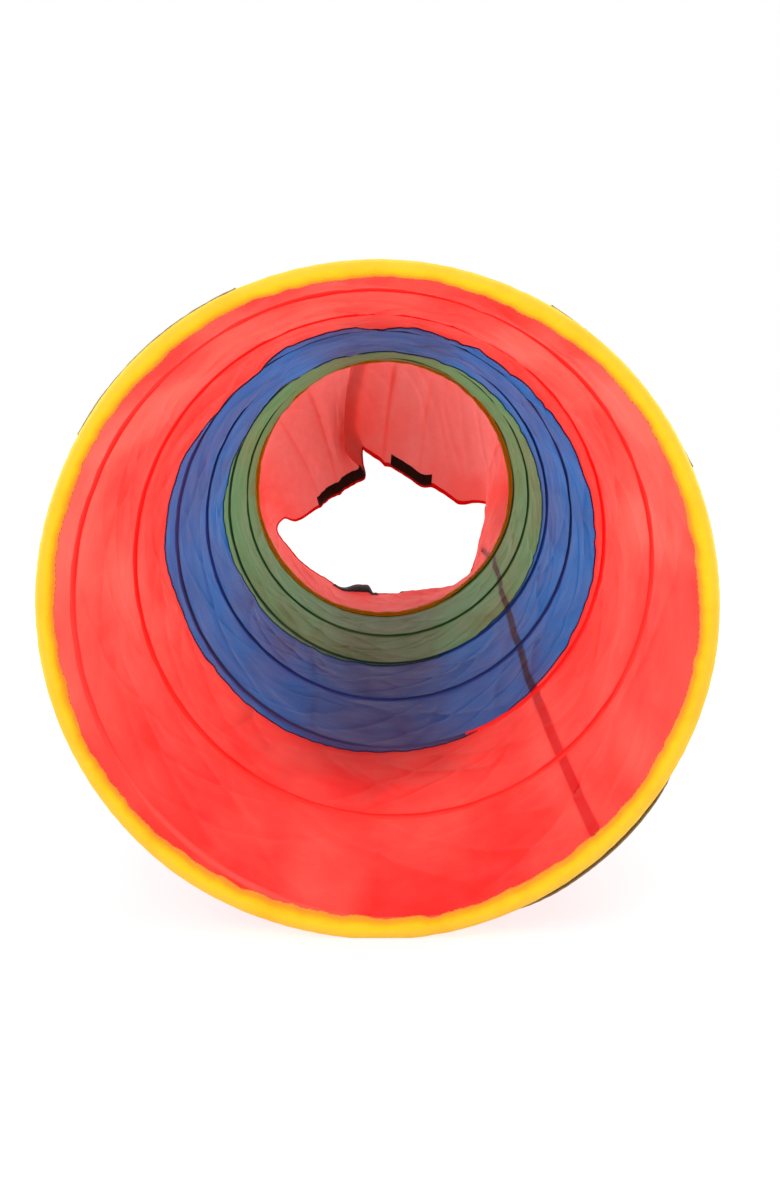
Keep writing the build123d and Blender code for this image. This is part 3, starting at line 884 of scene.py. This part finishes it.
def skirt_point(angle, t):
    """Cloth of the skirt, from the far rim (t 0) to the free edge of the hem (t 1)."""
    a = radians(angle)
    start = on_circle(CLOTH_RADIUS - 0.0003, angle, SKIRT_START)
    end = hem_edge(angle)
    reach = (end - start).length
    roof = max(sin(a), 0)
    leave = Vector((0, 1, 0)) * reach * 0.7
    arrive = (end - start) * 0.6 + Vector((0, 0.2 - 0.45 * roof, -0.6 * roof)) * reach
    point = start * (2 * t ** 3 - 3 * t ** 2 + 1) + leave * (t ** 3 - 2 * t ** 2 + t)
    point += end * (-2 * t ** 3 + 3 * t ** 2) + arrive * (t ** 3 - t ** 2)
    out = Vector((cos(a), 0, sin(a)))
    middle = sin(pi * min(t, 1.0)) ** 0.8
    # the pleat's fold runs down to the notch in the hem, then kinks back to the hem's tip
    point += pleat_shift(angle) * smooth(t, 0.0, 0.8) * (1 - smooth(t, 0.82, 1.0))
    # the right side, under the strap
    from_right = (angle + 188) % 360 - 180
    sunk = bell(from_right, 24) * smooth(t, 0.0, 0.35) * (1 - smooth(t, 0.6, 1.0))
    point -= out * SIDE_SINK * sunk
    # softer folds, pressed in, and the cloth's own waves and creases
    fold = 0.0
    for fold_angle, width, height in SKIRT_FOLDS:
        fold += height * (1 - min(abs(angle - fold_angle) / width, 1.0)) ** 1.5
    wave = 0.008 * wrapped_noise(angle, t * 0.3, 0.12, 0.3, 91.0)
    crease = 0.003 * ridge(wrapped_noise(angle + 40 * t, t * 0.3, 0.05, 0.22, 95.0)) ** 3
    crush = 0.0012 * wrapped_noise(angle, t * 0.3, 0.015, 0.03, 99.0)
    ease = smooth(t, 0.0, 0.25)
    fold *= smooth(t, 0.0, 0.35) * (1 - 0.6 * t)
    point += out * (ease * (wave * middle + crush) - crease * middle - fold)
    # the floor of the skirt ruffles at the right, and its hem stands up under the left hook strip
    point.z += 0.012 * bell(angle - 300, 20) * bell(t - 0.84, 0.09)
    stands = smooth(angle, 248, 262) * (1 - smooth(angle, 266, 269))
    point.z += 0.016 * stands * smooth(t, 0.86, 1.0)
    point.z = max(point.z, SKIRT_LOWEST)
    return point


def skirt_shade(angle, t):
    """Painted shade in the pleat's lap, along the folds and a little on the sides and floor; below
    0, painted daylight that makes the roof paler.
    """
    lap = 0.3 * smooth(angle, 78, 97) + 0.7 * smooth(angle, 95.5, 100)
    shade = lap * (1 - smooth(angle, 104.2, 105.0)) * (0.32 + 0.08 * t)
    for fold_angle, _, height in SKIRT_FOLDS:
        line = bell(angle - fold_angle - 0.8, 1.0) * smooth(t, 0.0, 0.3) * (1 - 0.7 * t)
        shade += 16 * height * line
    shade += 0.05 * smooth(wrapped_noise(angle, t * 0.3, 0.05, 0.12, 121.0), 0.05, 0.5)
    roof = smooth(sin(radians(angle)), -0.2, 0.5)
    shade += 0.10 * (1 - roof)
    return min(shade, 0.7) - 0.5 * roof * max(1 - 4 * shade, 0.0)


def skirt_sheet():
    vertices = []
    uvs = []
    shade = []
    for j in range(SKIRT_COLUMNS):
        angle = 360 * j / SKIRT_COLUMNS + FIRST_DIRECTION
        for i in range(SKIRT_ROWS + 1):
            t = i / SKIRT_ROWS
            vertices.append(skirt_point(angle, t))
            uvs.append((radians(angle) * CLOTH_RADIUS, t * SKIRT_LENGTH))
            shade.append(skirt_shade(angle, t))
    faces = grid(SKIRT_COLUMNS, SKIRT_ROWS + 1, wrap_rows=True)
    return mesh_object("skirt_cloth", vertices, faces, uvs, shade)


def skirt_inward(angle, t):
    """Direction that faces the inside of the skirt."""
    round_it = skirt_point(angle + 0.5, t) - skirt_point(angle - 0.5, t)
    further = min(t + 0.01, 1.0)
    down_it = skirt_point(angle, further) - skirt_point(angle, further - 0.02)
    return down_it.cross(round_it).normalized() * -1


skirt = skirt_sheet()
paint(skirt, SKIRT_CLOTH)
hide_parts("connector_skirt")
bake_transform(skirt)

HEM_START = 0.972           # share of the skirt above its hem
HEM_COLUMNS = 900
# section of the hem, a free edge turned over a doubled band: (share of its depth, inwards, puff)
HEM_SECTION = (
    (0.0, 0.0006, 0), (0.15, 0.0014, 1), (0.6, 0.0017, 1), (0.95, 0.0019, 0),
    (1.1, 0.0009, 0), (1.12, -0.0002, 0), (1.05, -0.0012, 0), (0.6, -0.0012, 1),
    (0.15, -0.0011, 0), (0.0, -0.0006, 0),
)


def folded_hem():
    vertices = []
    uvs = []
    for j in range(HEM_COLUMNS):
        angle = 360 * j / HEM_COLUMNS + FIRST_DIRECTION
        inner = skirt_inward(angle, 0.98)
        top = skirt_point(angle, HEM_START)
        depth = skirt_point(angle, 1.0) - top
        puff = 0.3 * wrapped_noise(angle, 0.0, 0.02, 1.0, 103.0)
        for k, (run, inwards, puffs) in enumerate(HEM_SECTION):
            point = top + depth * run + inner * (inwards * (1 + puffs * puff))
            point.z = max(point.z, HEM_LOWEST)
            vertices.append(point)
            uvs.append((j * 0.0016, k * 0.004))
    faces = grid(HEM_COLUMNS, len(HEM_SECTION), wrap_rows=True, wrap_columns=True)
    return mesh_object("hem_cloth", vertices, faces, uvs)


stand_in(folded_hem(), "skirt_hem", HEM_TAPE, "skirt_end")

HOOK_STRIP_WIDTH = 0.022
HOOK_STRIP_STEPS = 60
HOOK_STRIP_INSET = 0.0040   # from the hem's edge
# section of a hook strip, domed with a flat border: (share of its width, height)
HOOK_STRIP_SECTION = (
    (0.0, 0.0), (0.02, 0.0010), (0.10, 0.0012), (0.14, 0.0022), (0.5, 0.0026), (0.86, 0.0022),
    (0.90, 0.0012), (0.98, 0.0010), (1.0, 0.0),
)


def strip_on_skirt(name, middle_angle, length):
    """Hook strip that follows the inside of the cloth above the hem."""
    step = skirt_point(middle_angle + 1, 0.95) - skirt_point(middle_angle - 1, 0.95)
    half = length / (step.length / 2) / 2
    vertices = []
    uvs = []
    for i in range(HOOK_STRIP_STEPS + 1):
        angle = middle_angle + half * (2 * i / HOOK_STRIP_STEPS - 1)
        slope = (skirt_point(angle, 1.0) - skirt_point(angle, 0.9)).length / 0.1
        taper = max(min(1.0, min(i, HOOK_STRIP_STEPS - i) / 1.5), 0.25)
        for across, rise in HOOK_STRIP_SECTION:
            t = 1 - (HOOK_STRIP_INSET + HOOK_STRIP_WIDTH * across) / slope
            height = 0.0012 + rise * taper
            vertices.append(skirt_point(angle, t) + skirt_inward(angle, t) * height)
            uvs.append((i * length / HOOK_STRIP_STEPS, across * HOOK_STRIP_WIDTH))
    faces = capped(HOOK_STRIP_STEPS + 1, len(HOOK_STRIP_SECTION))
    return mesh_object(name, vertices, faces, uvs)


# direction that each strip's middle hangs from, and its length
HOOK_STRIPS = (
    ("roof_left_hook_strip", 126.0, 0.114),
    ("roof_right_hook_strip", 70.0, 0.098),
    ("floor_left_hook_strip", 258.0, 0.09),
    ("floor_right_hook_strip", 300.0, 0.09),
)
for name, middle_angle, length in HOOK_STRIPS:
    obj = strip_on_skirt(f"{name}_tape", middle_angle, length)
    stand_in(obj, name, HOOK_TAPE, "skirt_end")


# ---- loop strips on the near rim ----------------------------------------------------------------
LOOP_STRIP_LENGTH = 0.150
LOOP_STRIP_STEPS = 90
# section of a loop strip: (depth into the tunnel, height over the rim)
LOOP_STRIP_SECTION = (
    (0.004, 0.0000), (0.004, 0.0009), (0.006, 0.0014), (0.013, 0.0016), (0.020, 0.0013),
    (0.022, 0.0006), (0.022, -0.0004),
)


def loop_tape(name, middle_angle, lift, seed):
    """Loop strip laid round the outside of the rim, with a soft edge that stands off a little."""
    half = degrees(LOOP_STRIP_LENGTH / 0.238) / 2
    vertices = []
    uvs = []
    for i in range(LOOP_STRIP_STEPS + 1):
        t = 2 * i / LOOP_STRIP_STEPS - 1
        angle = middle_angle + half * t
        rise = RIM_RADIUS + rim_swell(angle, NEAR_RIM_SEED) + lift * (1 - t ** 4)
        rise += 0.0005 * wrapped_noise(angle, 0.0, 0.05, 1.0, seed)
        for k, (depth, height) in enumerate(LOOP_STRIP_SECTION):
            fuzz = 0.0003 * wrapped_noise(angle, depth, 0.004, 0.004, seed + 3)
            vertices.append(on_circle(rise + height + fuzz, angle, depth))
            uvs.append((i * LOOP_STRIP_LENGTH / LOOP_STRIP_STEPS, k * 0.004))
    faces = capped(LOOP_STRIP_STEPS + 1, len(LOOP_STRIP_SECTION))
    return mesh_object(name, vertices, faces, uvs)


# direction of each strip's middle, and how far it stands off the rim
LOOP_STRIPS = (
    ("upper_right_loop_strip", 42.0, -0.0012),
    ("upper_left_loop_strip", 132.0, 0.0),
    ("lower_left_loop_strip", 222.0, 0.0),
    ("lower_right_loop_strip", 312.0, 0.0030),
)
for index, (name, angle, lift) in enumerate(LOOP_STRIPS):
    obj = loop_tape(f"{name}_tape", angle, lift, 110.0 + 7 * index)
    stand_in(obj, name, LOOP_TAPE, "near_end")


# ---- closing strap on the far rim ---------------------------------------------------------------
STRAP_ANGLE = 327.0
STRAP_START = 1.788
STRAP_LENGTH = 0.150
STRAP_HALF_WIDTH = 0.006
STRAP_THICKNESS = 0.0008
STRAP_STEPS = 40
STRAP_COLUMNS = 12
STRAP_ACROSS = Vector((-sin(radians(STRAP_ANGLE)), 0, cos(radians(STRAP_ANGLE))))
STRAP_OUT = Vector((cos(radians(STRAP_ANGLE)), 0, sin(radians(STRAP_ANGLE))))
STRAP_ABOVE_SKIRT = 0.0016  # its underside above the middle of the skirt's cloth
STRAP_STITCH = 0.0028       # length of one stitch and the gap after it
STRAP_THREAD = 0.0005
PATCH_LENGTH = 0.040
PATCH_TOP = 0.0019


def skirt_share(angle, station):
    """How far down the skirt (t) it crosses this station."""
    low = 0.0
    high = 1.0
    for _ in range(16):
        middle = (low + high) / 2
        if skirt_point(angle, middle).y < station:
            low = middle
        else:
            high = middle
    return low


def skirt_under(direction, station):
    """Where the skirt crosses this direction from the tunnel axis, as (angle it hangs from, t)."""
    low = direction - 15
    high = direction + 50
    for _ in range(14):
        angle = (low + high) / 2
        point = skirt_point(angle % 360, skirt_share(angle % 360, station))
        if degrees(atan2(point.z - AXIS_HEIGHT, point.x)) % 360 < direction:
            low = angle
        else:
            high = angle
    return low % 360, skirt_share(low % 360, station)


def strap_middle():
    """Centre line of the strap as (along, point): sewn to the binding, then on the skirt."""
    line = []
    for i in range(STRAP_STEPS + 1):
        along = STRAP_LENGTH * i / STRAP_STEPS
        station = STRAP_START + along
        on_rim = on_circle(RIM_RADIUS + 0.0002, STRAP_ANGLE, station)
        angle, t = skirt_under(STRAP_ANGLE, max(station, 1.80))
        on_skirt = skirt_point(angle, t) + STRAP_OUT * STRAP_ABOVE_SKIRT
        on_skirt.y = station
        line.append((along, on_rim.lerp(on_skirt, smooth(station, 1.801, 1.832))))
    return line


def tape_band(name, line, half_width, sole, crown):
    """Flat tape between two heights above a centre line, with thin edges and a rounded tip."""
    top = []
    bottom = []
    end = line[-1][0]
    for along, point in line:
        half = half_width * sqrt(smooth(end - along, -0.003, 0.004))
        for j in range(STRAP_COLUMNS + 1):
            w = 2 * j / STRAP_COLUMNS - 1
            thin = 0.35 * smooth(abs(w), 0.8, 1.0) * (crown - sole)
            side = point + STRAP_ACROSS * (w * half)
            top.append(side + STRAP_OUT * (crown - thin))
            bottom.append(side + STRAP_OUT * (sole + thin))
    rows = len(line)
    width = STRAP_COLUMNS + 1
    count = rows * width
    faces = grid(rows, width)
    faces += [tuple(reversed(face)) for face in grid(rows, width, start=count)]
    border = [i * width for i in range(rows)]
    border += [(rows - 1) * width + j for j in range(1, width)]
    border += [i * width + STRAP_COLUMNS for i in range(rows - 2, -1, -1)]
    border += list(range(STRAP_COLUMNS - 1, 0, -1))
    for k, first in enumerate(border):
        second = border[(k + 1) % len(border)]
        faces.append((first, second, second + count, first + count))
    vertices = top + bottom
    return mesh_object(name, vertices, faces, [(v.x, v.y) for v in vertices])


def on_band(line, along, sideways, rise):
    """Point on the strap at a distance along it, a distance sideways and a height above it."""
    exact = along / STRAP_LENGTH * (len(line) - 1)
    i = min(int(exact), len(line) - 2)
    point = line[i][1].lerp(line[i + 1][1], exact - i)
    return point + STRAP_ACROSS * sideways + STRAP_OUT * rise


def band_stitches(name, line, corners, rise):
    """Stitches along straight runs on the strap; each corner is (along, sideways) in metres."""
    parts = []
    for (along_a, side_a), (along_b, side_b) in zip(corners, corners[1:]):
        count = max(round(abs(along_b - along_a + side_b - side_a) / STRAP_STITCH), 1)
        for k in range(count):
            ends = []
            for t in (k / count, (k + 0.7) / count):
                along = along_a + (along_b - along_a) * t
                ends.append(on_band(line, along, side_a + (side_b - side_a) * t, rise))
            parts.append(stitch(*ends, STRAP_OUT, STRAP_THREAD))
    return joined(name, parts)


def box_corners(low, high, half):
    """Corners of a stitched box with a cross in it, as one run."""
    return (
        (low, -half), (high, -half), (high, half), (low, half),
        (low, -half), (high, half), (high, -half), (low, half),
    )


strap_line = strap_middle()
obj = tape_band("closing_strap_tape", strap_line, STRAP_HALF_WIDTH, 0.0, STRAP_THICKNESS)
stand_in(obj, "closing_strap", STRAP_TAPE, "strap_tail")

patch_line = [step for step in strap_line if step[0] >= STRAP_LENGTH - PATCH_LENGTH - 1e-6]
sole = STRAP_THICKNESS - 0.0001
obj = tape_band("closing_strap_hooks", patch_line, STRAP_HALF_WIDTH - 0.0006, sole, PATCH_TOP)
stand_in(obj, "closing_strap_patch", HOOK_TAPE, "strap_tail")

for part, corners, rise in (
    ("root", box_corners(0.001, 0.011, 0.0045), STRAP_THICKNESS),
    ("patch", box_corners(STRAP_LENGTH - 0.038, STRAP_LENGTH - 0.005, 0.0042), PATCH_TOP + 0.0001),
):
    obj = band_stitches(f"closing_strap_{part}_stitches", strap_line, corners, rise)
    paint(obj, RED_THREAD)
    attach(obj, "strap_tail")


# ---- floor, light and camera --------------------------------------------------------------------
FLOOR_GLOW = 1.12           # brings the floor to the photo's plain white
GLOW_SHARE = 0.7            # and the rest of it still shows the tunnel's shadow


def plain_floor():
    s = Shader("pale_floor")
    tone = s.limited(s.noise(s.place(), 3.0), 0.3, 0.7, 0.93, 0.96)
    colour = s.node("ShaderNodeCombineColor", Red=tone, Green=tone, Blue=tone).outputs[0]
    matt = s.node("ShaderNodeBsdfDiffuse", Color=colour)
    lit = s.node("ShaderNodeEmission", Color=colour, Strength=FLOOR_GLOW)
    mix = s.node("ShaderNodeMixShader", in0=GLOW_SHARE, in1=matt.outputs[0], in2=lit.outputs[0])
    material = s.finish(mix.outputs[0])
    bpy.ops.mesh.primitive_plane_add(size=60, location=(0, 0, -0.0005))
    floor = bpy.context.object
    floor.name = "floor"
    floor.data.materials.append(material)


def soft_light(name, place, aim, size, power):
    light = bpy.data.lights.new(name, "AREA")
    light.shape = "DISK"
    light.size = size
    light.energy = power
    obj = bpy.data.objects.new(name, light)
    obj.location = place
    obj.rotation_euler = (Vector(aim) - Vector(place)).to_track_quat("-Z", "Y").to_euler()
    bpy.context.scene.collection.objects.link(obj)


# name, place, what it aims at, width in metres, and power in watts
LIGHTS = (
    ("overhead", (0.3, 0.9, 2.6), (0, 0.9, 0.2), 2.4, 28),
    ("front", (-0.8, -2.0, 1.6), (0, 0.2, 0.2), 1.6, 22),
    ("side", (2.4, 0.8, 0.9), (0, 0.8, 0.2), 1.6, 38),
    ("other_side", (-2.4, 1.0, 0.9), (0, 1.0, 0.2), 1.6, 38),
)
plain_floor()
for light_settings in LIGHTS:
    soft_light(*light_settings)

world = bpy.data.worlds.new("studio")
world.use_nodes = True
background = world.node_tree.nodes["Background"]
background.inputs["Color"].default_value = (1, 1, 1, 1)
background.inputs["Strength"].default_value = 1.0
scene = bpy.context.scene
scene.world = world
scene.view_settings.view_transform = "Standard"

# fitted to the photo's near rim, far ring and spiral lines
CAMERA_PLACE = (0.0072, -1.100, AXIS_HEIGHT + 0.1324)
CAMERA_DIP = 6.545          # degrees below the horizon
CAMERA_TURN = -0.07         # degrees from straight down the tunnel
CAMERA_LENS = 48.1          # millimetres, on a 36 mm sensor
camera_data = bpy.data.cameras.new("camera")
camera_data.sensor_width = 36
camera_data.lens = CAMERA_LENS
camera = bpy.data.objects.new("camera", camera_data)
camera.location = CAMERA_PLACE
camera.rotation_euler = (radians(90 - CAMERA_DIP), 0, radians(CAMERA_TURN))
scene.collection.objects.link(camera)
scene.camera = camera
